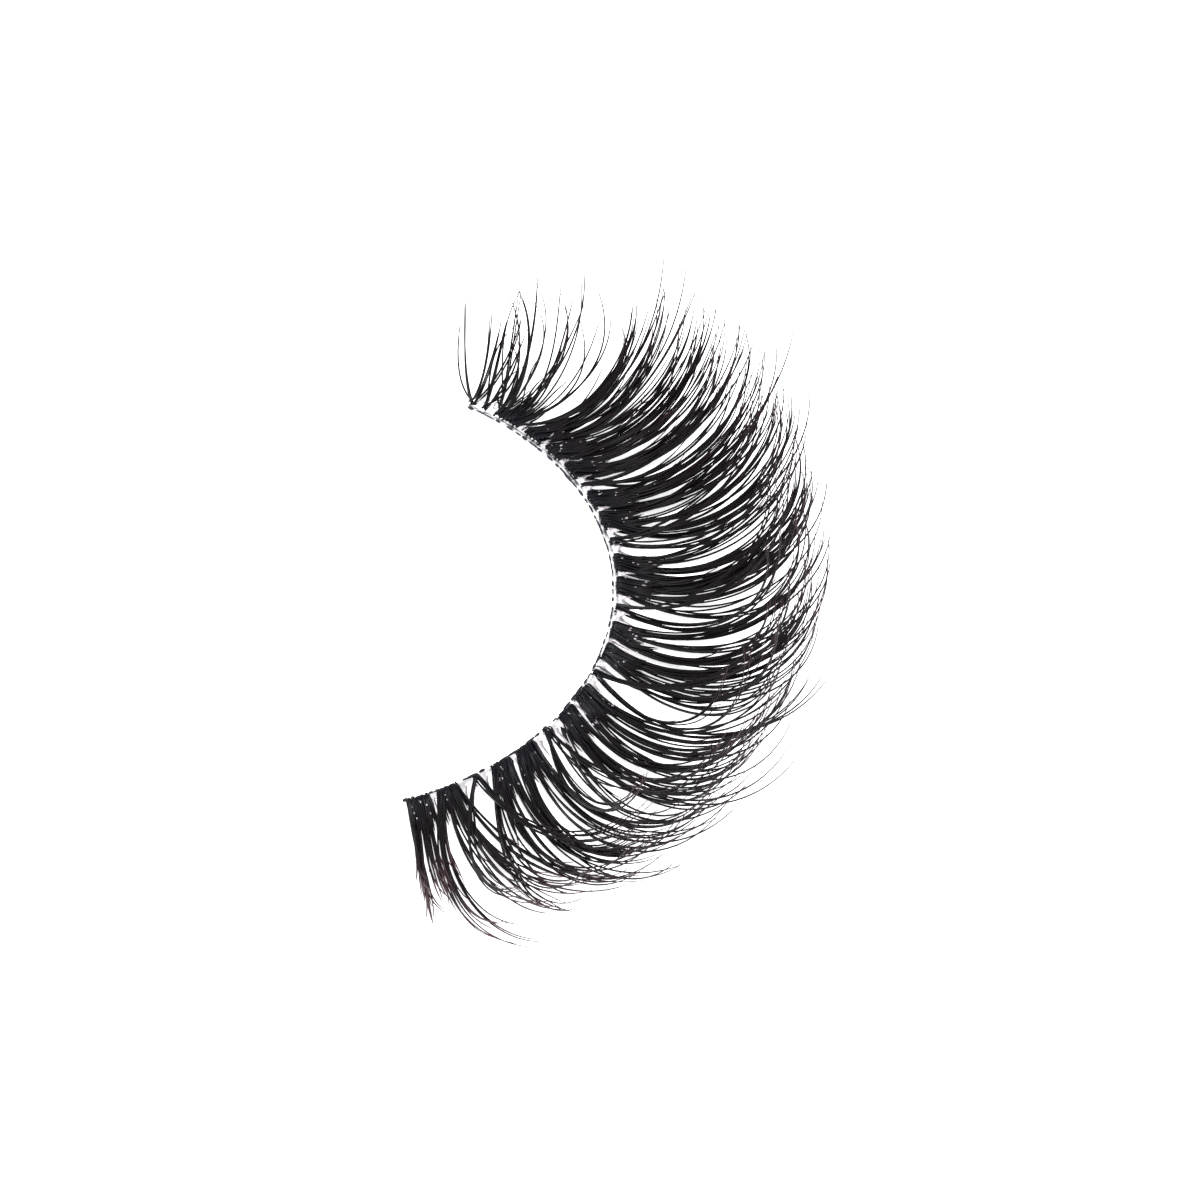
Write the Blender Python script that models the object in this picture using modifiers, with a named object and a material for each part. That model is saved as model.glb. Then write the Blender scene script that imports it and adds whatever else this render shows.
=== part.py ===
"""False eyelash strip, resting curl upward on the bellies of its lashes.

A clear ribbon bent to an arc carries the lashes. Sixteen wide clusters stand side by side along it,
with a narrow tuft after most pairs and a few wisps at the inner corner. Every lash leaves the band
outward and a little down, then curls up. The outer corner of the eye is at -Y, the inner corner at
+Y, and the arc bulges toward +X. The origin is under the middle of the whole strip, on the surface
that it rests on.
"""
import math

import bmesh
import bpy
import numpy as np
from mathutils import Matrix

COLLECTION_NAME = "false_eyelash_strip"

# Clear band
BAND_LENGTH = 0.0335
BAND_RADIUS = 0.0148
BAND_WIDTH = 0.00034
BAND_THICKNESS = 0.0003
BAND_STEPS = 48

# Roots, which lie across the band's top and are gathered just outside its edge
FOOT_THICKNESS = 0.00025
FOOT_SETBACK = 0.00008
FOOT_GAP = 0.00008
EDGE_GAP = 0.00008
GATHER_LENGTH = 0.0013
GATHER_FLARE = 0.00014
GATHER_SWELL = 0.00006
ROOT_COVER = 0.00005

# Lashes
LONGEST_LASH = 0.0175
BELLY_DROP = 0.00075
LOCK_RADIUS = 0.000105
TIP_RADIUS = 0.00003
LOCK_POINTS = 10
TUFT_LOCK_RADIUS = 0.00009
WISP_RADIUS = 0.00006

# Widths of the roots, and the bare slots between them
CLUSTER_WIDTH = 0.00115
CORNER_CLUSTER_WIDTH = 0.00155
TUFT_WIDTH = 0.00042
HALF_TUFT_WIDTH = 0.0003
WISP_WIDTH = 0.00036

# Order of the pieces from the outer corner to the inner one
ORDER = "CCTCCTCCTCCTCCTCCtCCCDtW"
SLOTS = {"C": 1.0, "D": 1.35, "T": 0.98, "t": 0.5, "W": 0.4}
ROOT_WIDTHS = {
    "C": CLUSTER_WIDTH,
    "D": CORNER_CLUSTER_WIDTH,
    "T": TUFT_WIDTH,
    "t": HALF_TUFT_WIDTH,
    "W": WISP_WIDTH,
}

# How the lashes stand along the band. Columns: place as a share of the band's length, lash length as
# a share of LONGEST_LASH, lean of the roots off the band's outward direction, sweep from there to
# the tips, curl, the slope of the tips, and spread, by which a piece's fans are multiplied. Angles
# are in degrees, and leans and sweeps turn toward the inner corner.
STATIONS = (
    (0.02, 0.51, -12, 2, 26, 0.3),
    (0.07, 0.76, -20, 34, 40, 1.8),
    (0.15, 0.90, -30, 46, 56, 1.0),
    (0.22, 0.95, -30, 48, 66, 1.0),
    (0.30, 0.96, -26, 38, 76, 1.0),
    (0.42, 0.93, -15, 24, 98, 1.0),
    (0.55, 0.85, -6, 18, 102, 1.0),
    (0.65, 0.81, -6, 15, 98, 1.0),
    (0.75, 0.80, -9, 15, 92, 1.0),
    (0.83, 0.70, -11, 14, 87, 1.0),
    (0.875, 0.58, -12, 12, 84, 1.3),
    (0.92, 0.45, -6, 8, 80, 1.0),
    (0.96, 0.40, 8, 8, 76, 0.8),
    (1.00, 0.29, 32, -20, 72, 1.0),
)

# Locks of each kind of piece. Columns: side of the root from -1 to 1, fan in degrees beside the
# piece's own lean, length as a share of the station's, curl in degrees beside the station's, and
# drop as a share of BELLY_DROP. A cluster's rows run from its twin's side to its open side.
LOCKS = {
    "C": (
        (-1.0, -2.0, 0.90, 2, 0.70),
        (-0.6, -1.0, 0.97, -4, 1.00),
        (-0.2, 0.5, 1.00, 5, 0.60),
        (0.2, 2.5, 0.95, -2, 1.00),
        (0.6, 5.0, 1.00, 4, 0.55),
        (1.0, 8.0, 0.93, -3, 1.00),
    ),
    "D": (
        (-1.0, -8.0, 1.00, 4, 0.50),
        (-0.6, -2.0, 1.06, 2, 0.40),
        (-0.2, 4.0, 0.98, 6, 0.45),
        (0.2, 11.0, 1.06, 0, 0.35),
        (0.6, 18.0, 0.98, 4, 0.30),
        (1.0, 26.0, 1.04, 2, 0.25),
    ),
    "T": (
        (-0.7, -15.0, 0.94, 3, 0.16),
        (0.7, 14.0, 0.90, 8, 0.12),
    ),
    "t": (
        (-0.5, -10.0, 0.80, 4, 0.15),
        (0.5, 8.0, 0.86, 6, 0.12),
    ),
    "W": (
        (-1.0, -20.0, 0.96, 2, 0.20),
        (-0.3, -7.0, 0.94, 4, 0.12),
        (0.3, 0.0, 1.00, 8, 0.12),
        (1.0, 15.0, 1.02, 4, 0.12),
    ),
}
LOCK_RADII = {
    "C": LOCK_RADIUS,
    "D": TUFT_LOCK_RADIUS,
    "T": TUFT_LOCK_RADIUS,
    "t": TUFT_LOCK_RADIUS,
    "W": WISP_RADIUS,
}
NODE_NAMES = {
    "C": "lash_cluster",
    "D": "lash_cluster",
    "T": "lash_tuft",
    "t": "lash_tuft",
    "W": "inner_corner_wisps",
}

# Places worked out from the sizes
BAND_ARC = BAND_LENGTH / BAND_RADIUS
ROOT_HEIGHT = BELLY_DROP + LOCK_RADIUS
BAND_TOP = ROOT_HEIGHT - FOOT_THICKNESS / 2 - FOOT_GAP
ROOT_RADIUS = BAND_RADIUS + BAND_WIDTH / 2 + EDGE_GAP


def clear_scene():
    for item in list(bpy.data.objects):
        bpy.data.objects.remove(item, do_unlink=True)


def make_collection(name):
    collection = bpy.data.collections.new(name)
    bpy.context.scene.collection.children.link(collection)
    return collection


def make_material(name, colour, roughness, alpha=1.0):
    material = bpy.data.materials.new(name)
    material.use_nodes = True
    shader = material.node_tree.nodes["Principled BSDF"]
    shader.inputs["Base Color"].default_value = (*colour, 1.0)
    shader.inputs["Roughness"].default_value = roughness
    shader.inputs["Metallic"].default_value = 0.0
    shader.inputs["Alpha"].default_value = alpha
    return material


def station_at(along):
    """Length share, lean, sweep, curl and spread at a place, read between the stations."""
    places, *columns = zip(*STATIONS)
    return [float(np.interp(along, places, column)) for column in columns]


def bearing_at(along):
    """Direction that the band faces at a share of its length, in radians from +X."""
    return (along - 0.5) * BAND_ARC


def dip_for(drop, length, curl):
    """Downward slope of a root whose evenly curled lash sinks by drop before it climbs.

    An arc of that length which turns from -dip to curl sinks by length * (1 - cos dip) /
    (curl + dip), and 1 - cos dip is close to dip squared over 2.
    """
    share = drop / length
    return share + math.sqrt(share * share + 2 * share * curl)


def lock_points(along, facing, width, station, lock):
    """Centre line of one lock: its slope turns evenly from -dip to curl, its bearing by sweep.

    Facing is 1 for a piece whose open side is toward the inner corner and -1 for its mirror image.
    """
    length_share, lean, sweep, curl, spread = station
    side, fan, lock_length, lock_curl, lock_drop = lock
    length = length_share * lock_length * LONGEST_LASH
    tip_slope = math.radians(curl + lock_curl)
    dip = dip_for(lock_drop * BELLY_DROP, length, tip_slope)
    middles = (np.arange(LOCK_POINTS - 1) + 0.5) / (LOCK_POINTS - 1)
    slopes = (tip_slope + dip) * middles - dip
    bearings = bearing_at(along) + np.radians(lean + facing * fan * spread + sweep * middles)
    headings = np.stack(
        [np.cos(slopes) * np.cos(bearings), np.cos(slopes) * np.sin(bearings), np.sin(slopes)], axis=1
    )
    steps = headings * length / (LOCK_POINTS - 1)
    offset = facing * side * (width / 2 - LOCK_RADIUS - ROOT_COVER)
    root = root_frame(along) @ Matrix.Translation((0, offset, 0))
    return np.vstack([np.zeros(3), np.cumsum(steps, axis=0)]) + np.array(root.translation)


def root_frame(along):
    """Frame of a root: origin just outside the band's edge, X outward, Z up."""
    turn = Matrix.Rotation(bearing_at(along), 4, "Z")
    return turn @ Matrix.Translation((ROOT_RADIUS, 0, ROOT_HEIGHT))


def gather_frame(along, paths):
    """Frame of the gathered roots: X along the mean first step of the locks, Y level."""
    step = sum(path[1] - path[0] for path in paths)
    bearing = math.atan2(step[1], step[0])
    dip = math.atan2(-step[2], math.hypot(step[0], step[1]))
    turn = Matrix.Rotation(bearing, 4, "Z") @ Matrix.Rotation(dip, 4, "Y")
    return Matrix.Translation(root_frame(along).translation) @ turn


def make_lock(name, points, radius, collection):
    """A lock that thins from its root to its tip, as a closed mesh."""
    curve = bpy.data.curves.new(name, "CURVE")
    curve.dimensions = "3D"
    curve.bevel_depth = radius
    curve.bevel_resolution = 0
    curve.use_fill_caps = True
    spline = curve.splines.new("POLY")
    spline.points.add(len(points) - 1)
    for index, (point, knot) in enumerate(zip(points, spline.points)):
        left = 1 - index / (len(points) - 1)
        knot.co = (*point, 1)
        knot.radius = (TIP_RADIUS + (radius - TIP_RADIUS) * left ** 0.8) / radius
    tube = bpy.data.objects.new(name, curve)
    collection.objects.link(tube)
    lock = freeze(name, tube, collection)
    bpy.data.curves.remove(curve)
    return lock


def freeze(name, item, collection):
    """Replace an object by one that holds its evaluated mesh, with caps welded on."""
    bpy.context.view_layer.update()
    evaluated = item.evaluated_get(bpy.context.evaluated_depsgraph_get())
    mesh = bpy.data.meshes.new_from_object(evaluated)
    shape = bmesh.new()
    shape.from_mesh(mesh)
    bmesh.ops.remove_doubles(shape, verts=shape.verts, dist=1e-7)
    bmesh.ops.recalc_face_normals(shape, faces=shape.faces)
    shape.to_mesh(mesh)
    shape.free()
    frozen = bpy.data.objects.new(name, mesh)
    frozen.matrix_world = item.matrix_world
    collection.objects.link(frozen)
    bpy.data.objects.remove(item, do_unlink=True)
    return frozen


def make_block(name, frame, start, end, width, thickness, collection, flare=0.0, swell=0.0):
    """A slab along the frame's X, whose outer end is wider and thicker by flare and swell each way."""
    shape = bmesh.new()
    bmesh.ops.create_cube(shape, size=1.0)
    centre = Matrix.Translation(((start + end) / 2, 0, 0))
    size = Matrix.Diagonal((end - start, width, thickness, 1))
    bmesh.ops.transform(shape, matrix=centre @ size, verts=shape.verts)
    outer = [vert for vert in shape.verts if vert.co.x > (start + end) / 2]
    growth = (1, (width + 2 * flare) / width, (thickness + 2 * swell) / thickness)
    bmesh.ops.scale(shape, vec=growth, verts=outer)
    mesh = bpy.data.meshes.new(name)
    shape.to_mesh(mesh)
    shape.free()
    block = bpy.data.objects.new(name, mesh)
    block.matrix_world = frame
    collection.objects.link(block)
    return block


def make_piece(name, kind, along, facing, collection, material):
    """A cluster, tuft or corner piece: foot on the band, gathered roots and its locks, fused."""
    width = ROOT_WIDTHS[kind]
    station = station_at(along)
    parts = make_collection(name + "_parts")
    frame = root_frame(along)
    foot_start = FOOT_SETBACK - BAND_WIDTH - EDGE_GAP
    foot = make_block(name, frame, foot_start, LOCK_RADIUS, width, FOOT_THICKNESS, collection)

    paths = [lock_points(along, facing, width, station, lock) for lock in LOCKS[kind]]
    if kind == "C":
        gather = gather_frame(along, paths)
        make_block(
            name + "_gather",
            gather,
            -ROOT_COVER,
            GATHER_LENGTH,
            width,
            FOOT_THICKNESS,
            parts,
            GATHER_FLARE,
            GATHER_SWELL,
        )
    for number, path in enumerate(paths, start=1):
        make_lock(f"{name}_lock_{number}", path, LOCK_RADII[kind], parts)

    union = foot.modifiers.new("fuse", "BOOLEAN")
    union.operation = "UNION"
    union.solver = "EXACT"
    union.operand_type = "COLLECTION"
    union.collection = parts
    piece = freeze(name + "_fused", foot, collection)
    piece.name = name
    piece.data.materials.clear()
    piece.data.materials.append(material)
    for part in list(parts.objects):
        bpy.data.objects.remove(part, do_unlink=True)
    bpy.data.collections.remove(parts)


def make_band(collection, material):
    """A flat ribbon along the arc, with its top just under the roots."""
    shape = bmesh.new()
    inner = shape.verts.new((BAND_RADIUS - BAND_WIDTH / 2, 0, BAND_TOP))
    outer = shape.verts.new((BAND_RADIUS + BAND_WIDTH / 2, 0, BAND_TOP))
    edge = shape.edges.new((inner, outer))
    start = Matrix.Rotation(bearing_at(0), 4, "Z")
    bmesh.ops.transform(shape, matrix=start, verts=shape.verts)
    bmesh.ops.spin(
        shape,
        geom=[inner, outer, edge],
        axis=(0, 0, 1),
        angle=BAND_ARC,
        steps=BAND_STEPS,
    )
    bmesh.ops.recalc_face_normals(shape, faces=shape.faces)
    mesh = bpy.data.meshes.new("clear_band")
    shape.to_mesh(mesh)
    shape.free()
    band = bpy.data.objects.new("clear_band", mesh)
    collection.objects.link(band)
    solid = band.modifiers.new("thickness", "SOLIDIFY")
    solid.thickness = BAND_THICKNESS
    solid.offset = -1
    band.data.materials.append(material)
    return band


def lay_out(order):
    """Name, kind, place and facing of each piece: slots follow one another and fill the band.

    Clusters stand in pairs, so every other one faces the other way.
    """
    total = sum(SLOTS[kind] for kind in order)
    counts = {}
    used = 0.0
    for kind in order:
        name = NODE_NAMES[kind]
        counts[name] = counts.get(name, 0) + 1
        place = (used + SLOTS[kind] / 2) / total
        used += SLOTS[kind]
        label = name if kind == "W" else f"{name}_{counts[name]:02d}"
        facing = -1 if kind == "C" and counts[name] % 2 else 1
        yield label, kind, place, facing


def stand_over_origin(pieces):
    """Shift all pieces so that the bottom centre of their common box is the origin."""
    bpy.context.view_layer.update()
    depsgraph = bpy.context.evaluated_depsgraph_get()
    corners = np.array([
        piece.matrix_world @ vert.co
        for piece in pieces
        for vert in piece.evaluated_get(depsgraph).data.vertices
    ])
    low, high = corners.min(axis=0), corners.max(axis=0)
    shift = Matrix.Translation((-(low[0] + high[0]) / 2, -(low[1] + high[1]) / 2, -low[2]))
    for piece in pieces:
        piece.matrix_world = shift @ piece.matrix_world


def build():
    clear_scene()
    strip = make_collection(COLLECTION_NAME)
    fibre = make_material("black_fibre", (0.008, 0.007, 0.009), 0.35)
    clear = make_material("clear_film", (0.82, 0.80, 0.82), 0.2, 0.45)
    make_band(strip, clear)
    for name, kind, place, facing in lay_out(ORDER):
        make_piece(name, kind, place, facing, strip, fibre)
    stand_over_origin(strip.objects[:])


build()
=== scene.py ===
import math

import bpy
import numpy as np
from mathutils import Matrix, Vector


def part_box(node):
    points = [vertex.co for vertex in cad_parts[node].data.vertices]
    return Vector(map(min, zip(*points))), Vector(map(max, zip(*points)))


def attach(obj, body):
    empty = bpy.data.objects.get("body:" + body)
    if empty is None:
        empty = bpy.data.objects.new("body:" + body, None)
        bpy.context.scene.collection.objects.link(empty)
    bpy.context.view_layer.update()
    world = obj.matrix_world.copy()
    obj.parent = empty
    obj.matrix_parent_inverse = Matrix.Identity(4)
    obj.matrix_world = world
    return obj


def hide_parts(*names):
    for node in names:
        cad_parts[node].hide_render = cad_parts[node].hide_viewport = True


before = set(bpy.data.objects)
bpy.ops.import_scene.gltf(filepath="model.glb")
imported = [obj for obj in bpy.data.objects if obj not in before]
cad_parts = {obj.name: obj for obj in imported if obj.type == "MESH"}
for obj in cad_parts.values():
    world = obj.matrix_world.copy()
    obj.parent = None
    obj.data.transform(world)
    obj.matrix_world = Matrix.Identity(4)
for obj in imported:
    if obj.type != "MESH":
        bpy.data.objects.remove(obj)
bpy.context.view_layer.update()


# Clear band
# The ribbon that everything is glued on: a strand of clear film, a third of a millimetre wide, that
# has taken the curve of the eyelid. It is drawn by hand from drying glue, so its edges wander.

BAND_RADIUS = 0.0148
BAND_LENGTH = 0.0335
BAND_WIDTH = 0.00034
BAND_ARC = BAND_LENGTH / BAND_RADIUS
BAND_LOW, BAND_HIGH = (np.array(corner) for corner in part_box("clear_band"))
BAND_THICKNESS = BAND_HIGH[2] - BAND_LOW[2]
ARC_CENTRE = np.array([
    BAND_HIGH[0] - BAND_RADIUS - BAND_WIDTH / 2,
    (BAND_LOW[1] + BAND_HIGH[1]) / 2,
    0.0,
])
FILM_WANDER = 0.00003
EDGE_WAVE = 5
WIDTH_WAVE = 3


def band_point(along, radius, height):
    """Points round the arc's centre: the bearing runs evenly over the arc as along goes from 0 to 1."""
    bearing = (along - 0.5) * BAND_ARC
    flat = np.stack([radius * np.cos(bearing), radius * np.sin(bearing), height + 0 * bearing], axis=-1)
    return ARC_CENTRE + flat


def wander(along, seed):
    """A slow wave from -1 to 1: the mean of sines of 9, 23, 41 and 67 turns with their own phases."""
    phases = np.random.default_rng(seed).uniform(0, 2 * math.pi, 4)
    turns = np.array([9, 23, 41, 67])
    return np.mean(np.sin(2 * math.pi * turns * np.asarray(along)[..., None] + phases), axis=-1)


def ring_faces(lines, steps, sides):
    """Quads between neighbouring rings of each tube and a cap on each end, as index lists."""
    corner = np.arange(lines * steps * sides).reshape(lines, steps, sides)
    ahead = np.roll(corner, -1, axis=2)
    quads = np.stack([corner[:, :-1], ahead[:, :-1], ahead[:, 1:], corner[:, 1:]], axis=-1)
    caps = np.concatenate([corner[:, 0, ::-1], corner[:, -1]])
    return quads.reshape(-1, 4).tolist() + caps.tolist()


def add_mesh(name, corners, faces, material):
    """A smooth object at the origin, from corners given ring by ring and faces that list them."""
    mesh = bpy.data.meshes.new(name)
    mesh.from_pydata(corners.reshape(-1, 3).tolist(), [], faces)
    mesh.shade_smooth()
    mesh.materials.append(material)
    piece = bpy.data.objects.new(name, mesh)
    bpy.context.scene.collection.objects.link(piece)
    return piece


def film_material(name, painted_highlight, tint):
    """Clear film: light passes through it, broken by fine pits and by paler, less clear patches of
    painted highlight.
    """
    material = bpy.data.materials.new(name)
    material.use_nodes = True
    nodes, links = material.node_tree.nodes, material.node_tree.links
    shader = nodes["Principled BSDF"]
    shader.inputs["Roughness"].default_value = 0.22
    shader.inputs["IOR"].default_value = 1.46
    place = nodes.new("ShaderNodeTexCoord")
    patches = nodes.new("ShaderNodeTexNoise")
    patches.inputs["Scale"].default_value = 1800
    patches.inputs["Detail"].default_value = 4
    # Where the noise patches rise, the film turns near white and less clear: a painted highlight.
    painted_highlight_clearness = nodes.new("ShaderNodeMapRange")
    painted_highlight_clearness.inputs["From Min"].default_value = 0.35
    painted_highlight_clearness.inputs["From Max"].default_value = 0.65
    painted_highlight_clearness.inputs["To Min"].default_value = 0.95
    painted_highlight_clearness.inputs["To Max"].default_value = 1 - painted_highlight
    colour = nodes.new("ShaderNodeMix")
    colour.data_type = "RGBA"
    colour.inputs["A"].default_value = (*tint, 1)
    colour.inputs["B"].default_value = (0.97, 0.97, 0.98, 1)
    pits = nodes.new("ShaderNodeTexNoise")
    pits.inputs["Scale"].default_value = 9000
    bump = nodes.new("ShaderNodeBump")
    bump.inputs["Strength"].default_value = 0.5
    bump.inputs["Distance"].default_value = 0.00004
    links.new(place.outputs["Object"], patches.inputs["Vector"])
    links.new(place.outputs["Object"], pits.inputs["Vector"])
    links.new(patches.outputs["Fac"], painted_highlight_clearness.inputs["Value"])
    links.new(painted_highlight_clearness.outputs["Result"], shader.inputs["Transmission Weight"])
    links.new(patches.outputs["Fac"], colour.inputs["Factor"])
    links.new(colour.outputs["Result"], shader.inputs["Base Color"])
    links.new(pits.outputs["Fac"], bump.inputs["Height"])
    links.new(bump.outputs["Normal"], shader.inputs["Normal"])
    return material


def make_band():
    """A rounded oblong profile carried along the arc, its radius and width wandering slowly.

    The profile is a superellipse: half the width times a power of the cosine across, and half the
    thickness times the same power of the sine upward. Both powers keep their sign.
    """
    steps, sides, power = 260, 14, 0.6
    along = np.linspace(0, 1, steps)[:, None]
    turn = np.linspace(0, 2 * math.pi, sides, endpoint=False)[None, :]
    across = np.sign(np.cos(turn)) * np.abs(np.cos(turn)) ** power
    upward = np.sign(np.sin(turn)) * np.abs(np.sin(turn)) ** power
    half_width = BAND_WIDTH / 2 + FILM_WANDER * wander(along, WIDTH_WAVE)
    radius = BAND_RADIUS + FILM_WANDER * wander(along, EDGE_WAVE) + half_width * across
    height = (BAND_LOW[2] + BAND_HIGH[2]) / 2 + BAND_THICKNESS / 2 * upward
    corners = band_point(along + 0 * turn, radius, height)
    return add_mesh("clear_band_film", corners, ring_faces(1, steps, sides), clear_film)


# Its pale patches of painted highlight are strong on the band.
clear_film = film_material("clear_film", painted_highlight=0.75, tint=(0.80, 0.79, 0.84))
band = make_band()
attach(band, "root")
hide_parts("clear_band")


# Thread in the band
# The film is drawn over a fine dark thread. It lies along the band's inner edge and shows as dashes
# between the film's pale patches of painted highlight.

THREAD_RADIUS = 0.000065
THREAD_LIFT = 0.4
# Shares of a dash's slot for its middle and its length, and of THREAD_RADIUS for its thickness.
DASH_PLACES = (0.3, 0.7)
DASH_LENGTHS = (0.45, 1.35)
DASH_RADII = (0.5, 1.3)


def make_thread():
    """Short tubes that follow the arc: each ring is a step along it, thinner toward both ends.

    The thickness is the thread's radius times a fifth and four fifths of the root of the sine of
    the share of the dash, and it is more toward the ends of the band.
    """
    dashes, steps, sides = 58, 7, 6
    chance = np.random.default_rng(11)
    share = np.linspace(0, 1, steps)[None, :, None]
    turn = np.linspace(0, 2 * math.pi, sides, endpoint=False)[None, None, :]
    middle = (np.arange(dashes) + chance.uniform(*DASH_PLACES, dashes))[:, None, None] / dashes
    length = chance.uniform(*DASH_LENGTHS, dashes)[:, None, None] / dashes
    along = middle + (share - 0.5) * length
    thickness = THREAD_RADIUS * chance.uniform(*DASH_RADII, dashes)[:, None, None]
    thickness = thickness * (0.8 + 0.5 * np.abs(2 * middle - 1))
    thickness = thickness * (0.2 + 0.8 * np.sin(math.pi * share) ** 0.5)
    edge = BAND_RADIUS - BAND_WIDTH / 2 + THREAD_RADIUS
    edge = edge + FILM_WANDER * wander(middle[:, 0, 0], EDGE_WAVE)[:, None, None]
    radius = edge + thickness * np.cos(turn)
    height = BAND_HIGH[2] + THREAD_LIFT * THREAD_RADIUS + thickness * np.sin(turn)
    corners = band_point(along + 0 * turn, radius, height)
    return add_mesh("band_thread", corners, ring_faces(dashes, steps, sides), dark_thread)


dark_thread = bpy.data.materials.new("dark_thread")
dark_thread.use_nodes = True
nodes, links = dark_thread.node_tree.nodes, dark_thread.node_tree.links
shader = nodes["Principled BSDF"]
place = nodes.new("ShaderNodeTexCoord")
fuzz = nodes.new("ShaderNodeTexNoise")
fuzz.inputs["Scale"].default_value = 6000
shade = nodes.new("ShaderNodeValToRGB")
shade.color_ramp.elements[0].color = (0.006, 0.006, 0.009, 1)
shade.color_ramp.elements[1].color = (0.05, 0.045, 0.06, 1)
links.new(place.outputs["Object"], fuzz.inputs["Vector"])
links.new(fuzz.outputs["Fac"], shade.inputs["Fac"])
links.new(shade.outputs["Color"], shader.inputs["Base Color"])
shader.inputs["Roughness"].default_value = 0.5
shader.inputs["Specular IOR Level"].default_value = 0.15
thread = make_thread()
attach(thread, "root")


# Lash clusters
# Each is a bundle of three dozen tapered black polyester fibres, cut to length, curled over a form and
# dipped in glue at the root. They leave the band as a flat block, then part into pairs that cling
# side by side, cross their neighbours and end in staggered tips.

LONGEST_LASH = 0.0175
BELLY_DROP = 0.00075
CLUSTER_WIDTH = 0.00115
FIBRE_RADIUS = 0.00005
FIBRE_TIP_RADIUS = 0.000013
TAPER_POWER = 4.0
LASH_POINTS = 26
FIBRE_SIDES = 5
RADIUS_SHARES = (0.88, 1.12)

# The roots leave the band EDGE_GAP outside its edge, in a block FOOT_THICKNESS deep that lies
# FOOT_GAP over its top. A fibre's foot reaches back over the edge by the two steps of FOOT_REACH.
FOOT_THICKNESS = 0.00025
FOOT_GAP = 0.00008
EDGE_GAP = 0.00008
FOOT_REACH = (2.2 * EDGE_GAP, EDGE_GAP)
ROOT_HEIGHT = BAND_HIGH[2] + FOOT_GAP + FOOT_THICKNESS / 2
ROOT_RADIUS = BAND_RADIUS + BAND_WIDTH / 2 + EDGE_GAP

# Order of the pieces from the outer corner to the inner one, and the share of the band each takes.
ORDER = "CCTCCTCCTCCTCCTCCtCCCDtW"
SLOTS = {"C": 1.0, "D": 1.35, "T": 0.98, "t": 0.5, "W": 0.4}

# How the lashes stand along the band. Columns: place as a share of the band's length, lash length as
# a share of LONGEST_LASH, lean of the roots off the band's outward direction, sweep from there to
# the tips, curl, the slope of the tips, and spread, by which a piece's fans are multiplied. Angles
# are in degrees.
STATIONS = (
    (0.02, 0.51, -12, 2, 30, 0.3),
    (0.07, 0.81, -20, 40, 42, 1.6),
    (0.15, 0.92, -30, 48, 58, 1.0),
    (0.22, 0.97, -30, 50, 68, 1.0),
    (0.30, 0.98, -26, 40, 78, 1.0),
    (0.42, 0.93, -15, 25, 96, 1.0),
    (0.55, 0.84, -7, 18, 99, 1.0),
    (0.65, 0.82, -8, 18, 96, 1.0),
    (0.75, 0.81, -12, 22, 92, 0.5),
    (0.83, 0.76, -17, 24, 88, 0.9),
    (0.875, 0.66, -15, 24, 86, 1.2),
    (0.92, 0.47, -17, 22, 80, 1.1),
    (0.96, 0.36, 4, 10, 76, 1.0),
    (1.00, 0.31, 26, -6, 72, 1.0),
)

# Locks of a cluster. Columns: side of the root from -1 to 1, fan in degrees, length as a share of
# the station's, curl in degrees beside the station's, and drop as a share of BELLY_DROP. The rows
# run from the side of the cluster's twin to its open side.
CLUSTER_LOCKS = (
    (-1.0, -2.0, 0.90, 2, 0.70),
    (-0.6, -1.0, 0.97, -4, 1.00),
    (-0.2, 0.5, 1.00, 5, 0.60),
    (0.2, 2.5, 0.95, -2, 1.00),
    (0.6, 5.0, 1.00, 4, 0.55),
    (1.0, 8.0, 0.93, -3, 1.00),
)

# Ranges of length, each as a share of the one before: a lock's strand, a fibre in it, and a fibre
# that is cut short, which the second of a pair is with SHORT_CHANCE. A fibre cut to CURL_CUT of the
# station's length has the station's curl.
STRAND_LENGTHS = (0.82, 1.08)
FIBRE_LENGTHS = (0.90, 1.0)
SHORT_LENGTHS = (0.40, 0.85)
SHORT_CHANCE = 0.5
CURL_CUT = 0.92

# Changes by chance. A strand's change is its lock's plus its own, doubled for a stray one, and it
# multiplies the degrees of lean, sweep, sweep back and curl. A fibre has a few degrees of its own.
LOCK_CHANGE = 0.85
STRAND_CHANGE = 0.5
STRAY_CHANCE = 1 / 6
MOST_CHANGE = 2.2
LEAN_CHANGE = 4.4
SWEEP_CHANGE = 3.0
SWEEP_BACK = 6.0
CURL_CHANGE = 3.2
FIBRE_LEAN = 0.6
FIBRE_SWEEP = 1.4
LEAST_CURL = 14
DROP_SHARES = (0.75, 1.0)

# How far apart strands and fibres stand. At the root a strand is within ROOT_LAYERS of the block's
# depth, and past the belly its sideways looseness is multiplied by LOOSE_ENDS. In fibre radii, a
# pair lies RIBBON_SPACING apart at the root and belly, RIBBON_GAPS where the lashes open and
# RIBBON_TIP of that at the tip. FIBRE_WANDER is one fibre's inward change at those four places.
ROOT_LAYERS = (-0.3, 0.4)
LOOSE_ENDS = 3
RIBBON_SPACING = 1.3
RIBBON_GAPS = (1.2, 2.8)
RIBBON_TIP = 0.7
FIBRE_WANDER = (1.4, 0.6, 0.8, 1.2)

# CLUSTER_SPLAY is how far a cluster's outermost locks turn outward, in degrees. The other values are
# those of the short dipped roots.
CLUSTER_SPLAY = 5.0
DIPPED_ROOTS = 14
DIPPED_LENGTHS = (0.0011, 0.0023)
DIPPED_FAN = 3
DIPPED_PART = 1 / 6
DIPPED_DROP = BELLY_DROP / 3
DIPPED_SHOWN = 0.3


def station_at(along):
    """Length share, lean, sweep, curl and spread at a place, read between the stations."""
    places, *columns = zip(*STATIONS)
    return [float(np.interp(along, places, column)) for column in columns]


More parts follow.
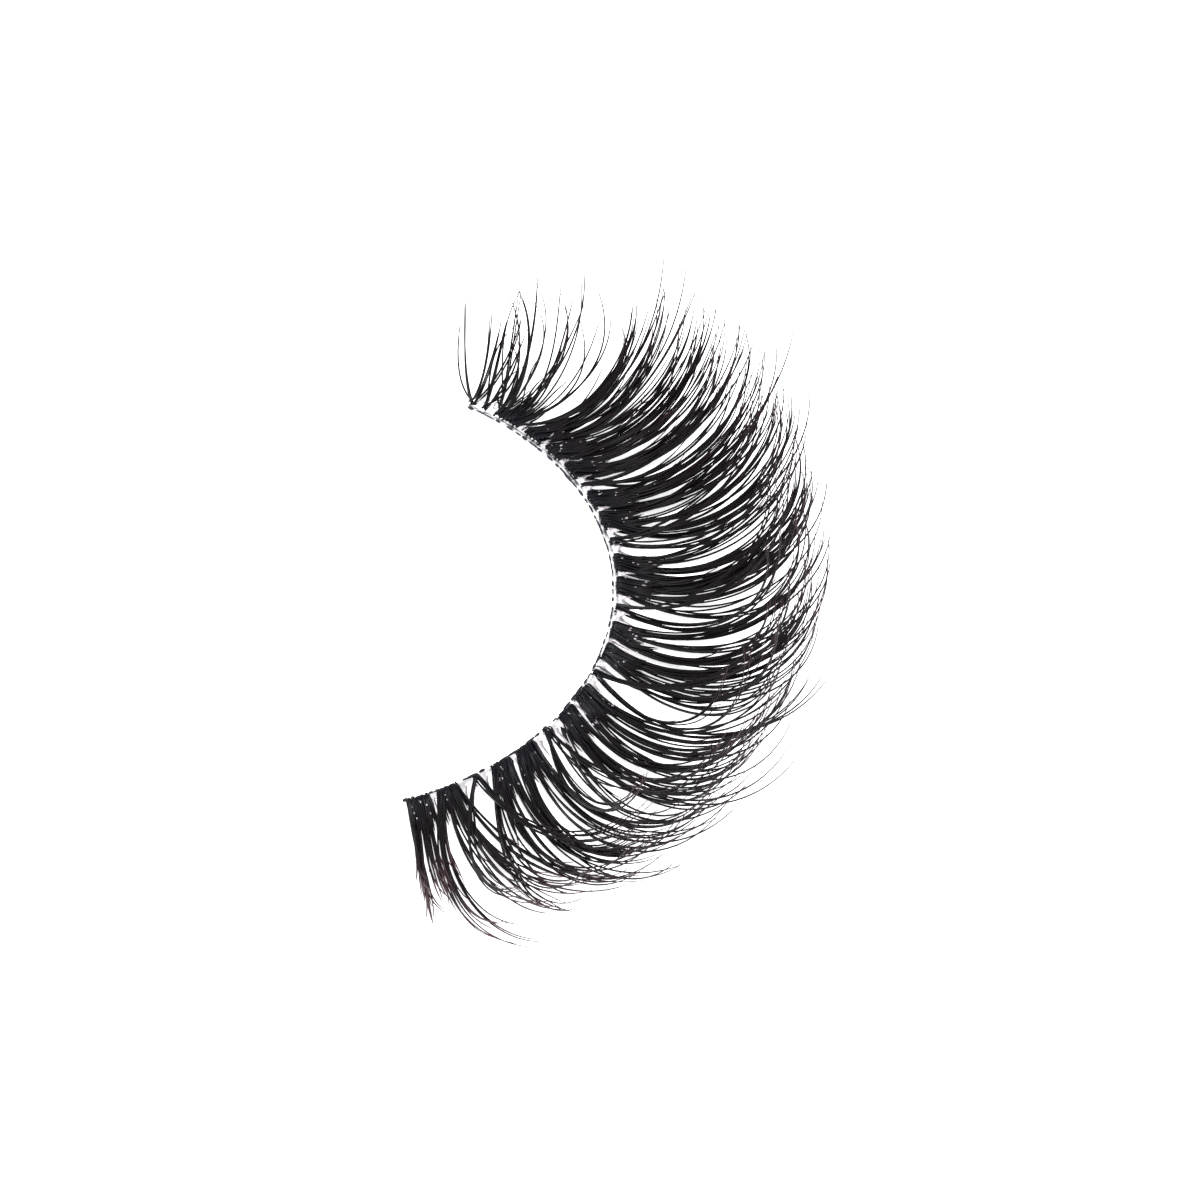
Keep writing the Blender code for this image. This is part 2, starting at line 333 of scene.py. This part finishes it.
def places_in_order():
    """The middle of every slot along the band: slots follow one another and fill it."""
    widths = np.array([SLOTS[letter] for letter in ORDER])
    return (np.cumsum(widths) - widths / 2) / widths.sum()


def places_of(kind):
    """The places along the band of one kind of piece."""
    return places_in_order()[np.array(list(ORDER)) == kind]


def blend_of_four(share, values):
    """A smooth run through four values: the cubic Bernstein weights of share times each of them."""
    rest = 1 - share
    weights = np.stack([rest**3, 3 * share * rest**2, 3 * share**2 * rest, share**3])
    return np.einsum("kn,kf->fn", weights, values)


def curled_lines(along, side_offset, length, lean, sweep, curl, drop):
    """Centre lines of lashes with their side and inward directions, one row for each lash.

    The slope turns evenly from -dip to curl and the bearing evenly by sweep, and the line is the
    running sum of the headings. The dip is the one whose arc sinks by drop: with s = drop / length
    it is s + sqrt(s * s + 2 * s * curl). The inward direction is the heading crossed with the side:
    up from a level fibre, and toward the eye from an upright one.
    """
    curl, lean, sweep = np.radians(curl), np.radians(lean), np.radians(sweep)
    sink = drop / length
    dip = sink + np.sqrt(sink * sink + 2 * sink * curl)
    share = np.linspace(0, 1, LASH_POINTS)
    slope = (curl + dip)[:, None] * share - dip[:, None]
    outward = (along - 0.5) * BAND_ARC
    bearing = (outward + lean)[:, None] + sweep[:, None] * share
    heading = np.stack(
        [np.cos(slope) * np.cos(bearing), np.cos(slope) * np.sin(bearing), np.sin(slope)], axis=-1
    )
    side = np.stack([-np.sin(bearing), np.cos(bearing), 0 * bearing], axis=-1)
    middles = (heading[:, 1:] + heading[:, :-1]) / 2
    runs = np.cumsum(middles, axis=1) * (length / (LASH_POINTS - 1))[:, None, None]
    line = np.concatenate([np.zeros((len(length), 1, 3)), runs], axis=1)
    level = np.stack([-np.sin(outward), np.cos(outward), 0 * outward], axis=-1)
    root = band_point(along, ROOT_RADIUS, ROOT_HEIGHT) + side_offset[:, None] * level
    line += root[:, None]
    return line, side, np.cross(heading, side)


def part_into_fibres(along, facing, width, locks, splay, strands, fibres, loose, seed):
    """Fibre lines of one piece: its locks part into strands, and each strand into fibres.

    Splay turns the outermost locks outward by so many degrees, so that neighbouring pieces cross.
    What leans to one side sweeps back to the other, which leaves lens-shaped gaps. All are curled
    over one form, so a fibre that is cut shorter turns less. The fibres of a strand lie side by
    side as a ribbon. A line is moved sideways and inward by a smooth run through four values: at
    the root, at the belly, where the lashes open and at the tip.
    """
    chance = np.random.default_rng(seed)
    length_share, lean, sweep, curl, spread = station_at(along)
    rows = np.repeat(np.array(locks), strands, axis=0)
    own = len(rows)
    stray = np.where(chance.random(own) < STRAY_CHANCE, 2.0, 1.0)[:, None]
    change = stray * chance.normal(0, STRAND_CHANGE, (own, 3))
    change = change + np.repeat(chance.normal(0, LOCK_CHANGE, (len(locks), 3)), strands, axis=0)
    change = np.clip(change, -MOST_CHANGE, MOST_CHANGE)
    gap = chance.uniform(*RIBBON_GAPS, own)
    place_in_lock = np.tile(np.arange(strands) - (strands - 1) / 2, len(locks))
    beside = np.stack([
        facing * place_in_lock * width / len(locks) / strands,
        chance.normal(0, loose, own),
        chance.normal(0, loose * LOOSE_ENDS, own),
        chance.normal(0, loose * LOOSE_ENDS, own),
    ])
    inward_run = np.stack([
        chance.uniform(*ROOT_LAYERS, own) * FOOT_THICKNESS,
        chance.normal(0, loose, own),
        chance.normal(0, loose, own),
        chance.normal(0, loose, own),
    ])
    strand_length = rows[:, 2] * chance.uniform(*STRAND_LENGTHS, own)

    each = np.repeat(np.arange(own), fibres)
    count = len(each)
    rank = np.tile(np.arange(fibres) - (fibres - 1) / 2, own)
    fibre_change = chance.normal(0, 1, (count, 3))
    cut = strand_length[each] * chance.uniform(*FIBRE_LENGTHS, count)
    short = (rank > 0) & (chance.random(count) < SHORT_CHANCE)
    cut = np.where(short, cut * chance.uniform(*SHORT_LENGTHS, count), cut)
    turned = np.where(short, cut / CURL_CUT, (1 + cut / CURL_CUT) / 2)
    own_lean = lean + facing * (rows[each, 1] + splay * rows[each, 0]) * spread
    own_lean = own_lean + LEAN_CHANGE * change[each, 1] + FIBRE_LEAN * fibre_change[:, 0]
    own_sweep = sweep + SWEEP_CHANGE * change[each, 2] - SWEEP_BACK * change[each, 1]
    own_sweep = (own_sweep + FIBRE_SWEEP * fibre_change[:, 1]) * turned
    own_curl = curl + rows[each, 3] + CURL_CHANGE * change[each, 0] + fibre_change[:, 2]
    own_curl = np.maximum(own_curl, LEAST_CURL) * turned
    line, side, inward = curled_lines(
        np.full(count, along),
        facing * rows[each, 0] * (width / 2 - width / len(locks) / 2),
        LONGEST_LASH * length_share * cut,
        own_lean,
        own_sweep,
        own_curl,
        BELLY_DROP * rows[each, 4] * chance.uniform(*DROP_SHARES, count),
    )
    share = np.linspace(0, 1, LASH_POINTS)
    ribbon = rank * FIBRE_RADIUS
    own_side = np.stack([
        ribbon * RIBBON_SPACING,
        ribbon * RIBBON_SPACING,
        ribbon * gap[each] + chance.normal(0, FIBRE_RADIUS, count),
        ribbon * gap[each] * RIBBON_TIP + chance.normal(0, FIBRE_RADIUS, count),
    ])
    own_inward = chance.normal(0, FIBRE_RADIUS, (4, count)) * np.array(FIBRE_WANDER)[:, None]
    line = line + side * blend_of_four(share, beside[:, each] + own_side)[..., None]
    line = line + inward * blend_of_four(share, inward_run[:, each] + own_inward)[..., None]
    return line, side, inward, np.ones(count)


def with_dipped_roots(lines, along, facing, width, seed):
    """The lines of a cluster with a row of short ones, the roots that glue has made into a block.

    They stand in pairs over the width, lean by DIPPED_FAN more than the cluster, open at half the
    splay and have lengths by chance. They turn by DIPPED_PART of the sweep and curl and show the
    colours of the first DIPPED_SHOWN of a fibre.
    """
    chance = np.random.default_rng(1000 + seed)
    share = np.repeat(np.linspace(-1, 1, DIPPED_ROOTS), 2)
    count = len(share)
    _, lean, sweep, curl, spread = station_at(along)
    short = curled_lines(
        np.full(count, along),
        share * (width / 2 - FIBRE_RADIUS),
        chance.uniform(*DIPPED_LENGTHS, count),
        lean + facing * (DIPPED_FAN + facing * CLUSTER_SPLAY / 2 * share) * spread,
        np.full(count, sweep * DIPPED_PART),
        np.full(count, curl * DIPPED_PART),
        np.full(count, DIPPED_DROP),
    )
    return [np.concatenate(pair) for pair in zip(lines, (*short, np.full(count, DIPPED_SHOWN)))]


def add_fibres(name, lines, radius, material):
    """Tapered tubes round the lines: the radius falls by the share of the way to TAPER_POWER.

    A foot is put before each line, straight back over the band's edge, and no centre sinks nearer to
    the table than its radius. Each ring is the centre plus the radius times the cosine along the
    side direction and the sine along the inward one. The attribute way_to_tip is the share of the
    way times the line's own share of the colours.
    """
    line, side, inward, shown = lines
    back = line[:, :1] - ARC_CENTRE
    back[..., 2] = 0
    back /= np.linalg.norm(back, axis=-1, keepdims=True)
    foot = line[:, :1] - back * np.array(FOOT_REACH)[None, :, None]
    line = np.concatenate([foot, line], axis=1)
    side = np.concatenate([side[:, :1], side[:, :1], side], axis=1)
    inward = np.concatenate([inward[:, :1], inward[:, :1], inward], axis=1)
    share = np.concatenate([[0, 0], np.linspace(0, 1, LASH_POINTS)])
    thickness = FIBRE_TIP_RADIUS + (radius[:, None] - FIBRE_TIP_RADIUS) * (1 - share**TAPER_POWER)
    line[..., 2] = np.maximum(line[..., 2], thickness)
    turn = np.linspace(0, 2 * math.pi, FIBRE_SIDES, endpoint=False)[:, None]
    ring = np.cos(turn) * side[:, :, None] + np.sin(turn) * inward[:, :, None]
    corners = line[:, :, None] + thickness[:, :, None, None] * ring
    count, steps = line.shape[:2]
    piece = add_mesh(name, corners, ring_faces(count, steps, FIBRE_SIDES), material)
    way = piece.data.attributes.new("way_to_tip", "FLOAT", "POINT")
    shares = (shown[:, None] * share)[:, :, None] + np.zeros(corners.shape[:3])
    way.data.foreach_set("value", shares.ravel())
    return piece


def fibre_material():
    """Drawn black fibre, near black: the blue cast at the glued root is a painted sheen, and the plum
    brown where it thins to the tip paints light shining through it.
    """
    material = bpy.data.materials.new("black_lash_fibre")
    material.use_nodes = True
    nodes, links = material.node_tree.nodes, material.node_tree.links
    shader = nodes["Principled BSDF"]
    way = nodes.new("ShaderNodeAttribute")
    way.attribute_name = "way_to_tip"
    colour = nodes.new("ShaderNodeValToRGB")
    # The blue cast of the first stop is a painted sheen on the glued root; the brown of the last stops
    # is painted light shining through the thin tips.
    stops = (
        (0.0, (0.005, 0.005, 0.008)),
        (0.15, (0.003, 0.002, 0.003)),
        (0.60, (0.005, 0.003, 0.004)),
        (0.85, (0.009, 0.004, 0.006)),
        (1.0, (0.050, 0.024, 0.028)),
    )
    ramp = colour.color_ramp
    for place, shade in stops[1:-1]:
        ramp.elements.new(place).color = (*shade, 1)
    ramp.elements[0].color = (*stops[0][1], 1)
    ramp.elements[-1].color = (*stops[-1][1], 1)
    gloss = nodes.new("ShaderNodeMapRange")
    gloss.inputs["From Min"].default_value = 0.0
    gloss.inputs["From Max"].default_value = 0.2
    gloss.inputs["To Min"].default_value = 0.25
    gloss.inputs["To Max"].default_value = 0.42
    shader.inputs["Specular IOR Level"].default_value = 0.12
    links.new(way.outputs["Fac"], colour.inputs["Fac"])
    links.new(way.outputs["Fac"], gloss.inputs["Value"])
    links.new(colour.outputs["Color"], shader.inputs["Base Color"])
    links.new(gloss.outputs["Result"], shader.inputs["Roughness"])
    return material


def add_lash_piece(name, node, lines, seed):
    """One named piece of fibres in place of its CAD node, with fibre radii an eighth either way."""
    count = len(lines[0])
    radii = FIBRE_RADIUS * np.random.default_rng(seed).uniform(*RADIUS_SHARES, count)
    piece = add_fibres(name, lines, radii, lash_fibre)
    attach(piece, "root")
    if node:
        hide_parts(node)


CORNER_CLUSTER_WIDTH = 0.00155
CORNER_CLUSTER_LOCKS = (
    (-1.0, -10.0, 1.20, 4, 0.50),
    (-0.6, -4.0, 1.28, 2, 0.40),
    (-0.2, 4.0, 1.20, 6, 0.45),
    (0.2, 14.0, 1.20, 2, 0.35),
    (0.6, 24.0, 1.06, 4, 0.30),
    (1.0, 34.0, 1.00, 2, 0.25),
)
STRANDS_PER_LOCK = 3
FIBRES_PER_STRAND = 2
CLUSTER_LOOSENESS = 0.00011
CORNER_LOOSENESS = 0.00025
# The brown of the tips, painted light shining through the thin fibres, reaches further down the fibres
# of the two clusters at the outer corner.
BROWN_TIP_CLUSTERS = 2
BROWN_TIP_STRETCH = 1.35
lash_fibre = fibre_material()
clusters = [(along, CLUSTER_WIDTH, CLUSTER_LOCKS, CLUSTER_LOOSENESS) for along in places_of("C")]
clusters += [
    (along, CORNER_CLUSTER_WIDTH, CORNER_CLUSTER_LOCKS, CORNER_LOOSENESS) for along in places_of("D")
]
for number, (along, width, locks, loose) in enumerate(clusters, start=1):
    facing = -1 if number % 2 else 1
    lines = part_into_fibres(
        along,
        facing=facing,
        width=width,
        locks=locks,
        splay=CLUSTER_SPLAY,
        strands=STRANDS_PER_LOCK,
        fibres=FIBRES_PER_STRAND,
        loose=loose,
        seed=number,
    )
    # In these clusters the painted brown of light through the tips begins nearer the root.
    if number <= BROWN_TIP_CLUSTERS:
        lines = (*lines[:3], BROWN_TIP_STRETCH * lines[3])
    lines = with_dipped_roots(lines, along, facing, width, number)
    add_lash_piece(f"cluster_fibres_{number:02d}", f"lash_cluster_{number:02d}", lines, number)


# Lash tufts
# Between most pairs of clusters stands a knot of a dozen fibres, or of six in the two smallest, parted
# into two thin legs. They are set last, so they lie over the roots of the clusters beside them.

TUFT_WIDTH = 0.00042
HALF_TUFT_WIDTH = 0.0003
TUFT_LOCKS = (
    (-0.7, -15.0, 0.94, 3, 0.16),
    (0.7, 14.0, 0.90, 8, 0.12),
)
HALF_TUFT_LOCKS = (
    (-0.5, -10.0, 0.80, 4, 0.15),
    (0.5, 8.0, 0.86, 6, 0.12),
)
STRANDS_PER_LEG = 3
TUFT_LOOSENESS = 0.00012

tufts = [(along, TUFT_WIDTH, TUFT_LOCKS, FIBRES_PER_STRAND) for along in places_of("T")]
tufts += [(along, HALF_TUFT_WIDTH, HALF_TUFT_LOCKS, 1) for along in places_of("t")]
for number, (along, width, locks, fibres) in enumerate(sorted(tufts), start=1):
    lines = part_into_fibres(
        along,
        facing=1,
        width=width,
        locks=locks,
        splay=0.0,
        strands=STRANDS_PER_LEG,
        fibres=fibres,
        loose=TUFT_LOOSENESS,
        seed=100 + number,
    )
    add_lash_piece(f"tuft_fibres_{number:02d}", f"lash_tuft_{number:02d}", lines, number)


# Glue webs
# Where the roots were dipped, a film of clear glue has dried in the corners between them, deepest
# against each root. Its faint mauve tint is a painted reflection of pink surroundings.

WISP_WIDTH = 0.00036
ROOT_WIDTHS = {
    "C": CLUSTER_WIDTH,
    "D": CORNER_CLUSTER_WIDTH,
    "T": TUFT_WIDTH,
    "t": HALF_TUFT_WIDTH,
    "W": WISP_WIDTH,
}
WEB_REACH = 0.0012
WEB_LEAST = 0.0002
WEB_THICKNESS = 0.00003
WEB_SLOPE = 0.27
WEB_DEPTHS = (0.4, 1.0)
WEB_OVERLAP = 0.06


def make_webs():
    """A flat web in each gap: its reach past the band falls from both roots to the gap's middle.

    At share u of the gap the reach is the least plus the rest times (2u - 1) squared, where the rest
    is by chance. The web runs a little under both roots and sinks outward by a fixed slope.
    """
    middles = places_in_order()
    halves = np.array([ROOT_WIDTHS[letter] for letter in ORDER]) / 2 / (BAND_ARC * ROOT_RADIUS)
    start = (middles + halves)[:-1, None, None]
    end = (middles - halves)[1:, None, None]
    gaps, steps = len(start), 11
    share = np.linspace(-WEB_OVERLAP, 1 + WEB_OVERLAP, steps)[None, :, None]
    depth = np.random.default_rng(21).uniform(*WEB_DEPTHS, gaps)[:, None, None]
    depth = depth * (WEB_REACH - WEB_LEAST)
    reach = WEB_LEAST + depth * (2 * share - 1) ** 2
    out = np.array([0, 1, 1, 0])[None, None, :] * (reach + EDGE_GAP) - EDGE_GAP
    lift = np.array([-0.5, -0.5, 0.5, 0.5])[None, None, :] * WEB_THICKNESS
    along = start + (end - start) * share + 0 * out
    corners = band_point(along, ROOT_RADIUS + out, ROOT_HEIGHT - WEB_SLOPE * out + lift)
    return add_mesh("root_glue_webs", corners, ring_faces(gaps, steps, 4), glue_film)


# The faint mauve tint is a painted reflection, and the pale patches are a painted highlight.
glue_film = film_material("glue_film", painted_highlight=0.40, tint=(0.92, 0.74, 0.86))
webs = make_webs()
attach(webs, "root")


# Glue specks
# Drops of the glue that the roots were dipped in have dried on the blocks as clear specks that catch
# the light.

SPECK_RADIUS = 0.00004
SPECKS_PER_CLUSTER = 7
SPECK_SHARES = (0.4, 1.1)
SPECK_PLACES = (-0.46, 0.46)
SPECK_REACH = (0.0001, 0.0016)
POLE_GAP = 0.02


def make_specks():
    """Ellipsoids on the root blocks, twice as long outward as across, with radii by chance.

    Each is a ring of eight points, its radius times the sine of the polar angle, carried from pole
    to pole. The places are shares of the cluster's width, and the reach is outward from the roots.
    """
    steps, sides = 6, 8
    chance = np.random.default_rng(31)
    along = np.repeat(places_of("C"), SPECKS_PER_CLUSTER)
    along = along + chance.uniform(*SPECK_PLACES, len(along)) * CLUSTER_WIDTH / BAND_LENGTH
    out = chance.uniform(*SPECK_REACH, len(along))
    size = SPECK_RADIUS * chance.uniform(*SPECK_SHARES, len(along))
    polar = np.linspace(POLE_GAP, math.pi - POLE_GAP, steps)[None, :, None]
    turn = np.linspace(0, 2 * math.pi, sides, endpoint=False)[None, None, :]
    out, size = out[:, None, None], size[:, None, None]
    outward = out - 2 * size * np.cos(polar) + 0 * turn
    across = size * np.sin(polar) * np.cos(turn) / ROOT_RADIUS / BAND_ARC
    rise = FOOT_THICKNESS / 2 - WEB_SLOPE * out + size * np.sin(polar) * np.sin(turn)
    corners = band_point(along[:, None, None] + across, ROOT_RADIUS + outward, ROOT_HEIGHT + rise)
    return add_mesh("glue_specks", corners, ring_faces(len(along), steps, sides), glue_film)


# The specks take the glue film, with its painted mauve reflection and pale patches of painted
# highlight.
specks = make_specks()
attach(specks, "root")


# Inner corner wisps
# Four strands of two fibres close the strip at the inner corner, short and nearly straight, so that
# the band can be trimmed there without cutting into a cluster.

WISPS = (
    (-1.0, -20.0, 1.10, 2, 0.20),
    (-0.3, -7.0, 0.94, 4, 0.12),
    (0.3, 4.0, 1.00, 8, 0.12),
    (1.0, 14.0, 1.02, 4, 0.12),
)
WISP_LOOSENESS = 0.00001
for along in places_of("W"):
    lines = part_into_fibres(
        along,
        facing=1,
        width=WISP_WIDTH,
        locks=WISPS,
        splay=0.0,
        strands=1,
        fibres=FIBRES_PER_STRAND,
        loose=WISP_LOOSENESS,
        seed=200,
    )
    add_lash_piece("corner_wisp_fibres", "inner_corner_wisps", lines, 200)


# Loose fibres
# A few single fibres have come out of line: some curl round in front of the others and some stand
# out past the tips.

# Columns: place along the band, lean, sweep and curl in degrees, length in metres, and drop as a
# share of BELLY_DROP.
LOOSE_FIBRES = (
    (0.180, -34, 60, 54, 0.0150, 0.3),
    (0.250, -32, 50, 62, 0.0160, 0.4),
    (0.345, -18, 66, 84, 0.0158, 0.5),
    (0.385, -14, 62, 88, 0.0152, 0.6),
    (0.470, -8, 50, 104, 0.0146, 0.5),
    (0.560, -8, 40, 112, 0.0150, 0.4),
    (0.640, -10, 30, 100, 0.0152, 0.4),
    (0.735, -14, 38, 84, 0.0150, 0.5),
    (0.900, -26, 64, 74, 0.0132, 0.5),
    (0.885, -29, 58, 80, 0.0132, 0.4),
    (0.997, 58, -44, 70, 0.0047, 0.1),
)


def make_loose_fibres():
    """The lines of the table, without any further change."""
    rows = np.array(LOOSE_FIBRES)
    straight = np.zeros(len(rows))
    lines = curled_lines(rows[:, 0], straight, rows[:, 4], *rows[:, 1:4].T, BELLY_DROP * rows[:, 5])
    return (*lines, np.ones(len(rows)))


add_lash_piece("loose_fibres", None, make_loose_fibres(), 300)


# Floor, light and camera
# The strip lies on a white table under broad soft light from above and a bright sky all round. The
# table gives off light too, like a lit photo table, which leaves next to no shadow.

bpy.ops.mesh.primitive_plane_add(size=2)
floor = bpy.context.object
floor.name = "table"
white = bpy.data.materials.new("white_table")
white.use_nodes = True
paint = white.node_tree.nodes["Principled BSDF"]
paint.inputs["Base Color"].default_value = (0.95, 0.95, 0.95, 1)
paint.inputs["Roughness"].default_value = 0.9
paint.inputs["Specular IOR Level"].default_value = 0.0
paint.inputs["Emission Color"].default_value = (1, 1, 1, 1)
paint.inputs["Emission Strength"].default_value = 0.75
floor.data.materials.append(white)

world = bpy.data.worlds.new("bright_sky")
world.use_nodes = True
sky = world.node_tree.nodes["Background"]
sky.inputs["Color"].default_value = (1, 1, 1, 1)
sky.inputs["Strength"].default_value = 1.1
bpy.context.scene.world = world

panel = bpy.data.lights.new("overhead_panel", "AREA")
panel.size = 0.12
panel.energy = 2.6
overhead = bpy.data.objects.new("overhead_panel", panel)
overhead.location = (0.0, 0.0, 0.5)
bpy.context.scene.collection.objects.link(overhead)

PHOTO_WIDTH = 1200
PHOTO_HEIGHT = 1193
PHOTO_ARC_CENTRE = (303, 587)
PIXELS_PER_METRE = 21100
CAMERA_TURN = math.radians(5.8)
CAMERA_RISE = math.radians(45)
CAMERA_DISTANCE = 0.45
SENSOR_WIDTH = 36

right = np.array([math.cos(CAMERA_TURN), math.sin(CAMERA_TURN), 0])
ahead = np.array([-math.sin(CAMERA_TURN), math.cos(CAMERA_TURN), 0])
view = ahead * math.cos(CAMERA_RISE) - np.array([0, 0, math.sin(CAMERA_RISE)])
up = np.cross(right, view)
aim = ARC_CENTRE + np.array([0, 0, ROOT_HEIGHT])
aim = aim + right * (PHOTO_WIDTH / 2 - PHOTO_ARC_CENTRE[0]) / PIXELS_PER_METRE
aim = aim + up * (PHOTO_ARC_CENTRE[1] - PHOTO_HEIGHT / 2) / PIXELS_PER_METRE

lens = bpy.data.cameras.new("camera")
lens.sensor_fit = "HORIZONTAL"
lens.sensor_width = SENSOR_WIDTH
lens.lens = SENSOR_WIDTH * CAMERA_DISTANCE * PIXELS_PER_METRE / PHOTO_WIDTH
lens.clip_start = 0.01
camera = bpy.data.objects.new("camera", lens)
camera.location = aim - view * CAMERA_DISTANCE
camera.rotation_euler = (math.pi / 2 - CAMERA_RISE, 0, CAMERA_TURN)
bpy.context.scene.collection.objects.link(camera)
bpy.context.scene.camera = camera
bpy.context.scene.view_settings.view_transform = "Standard"
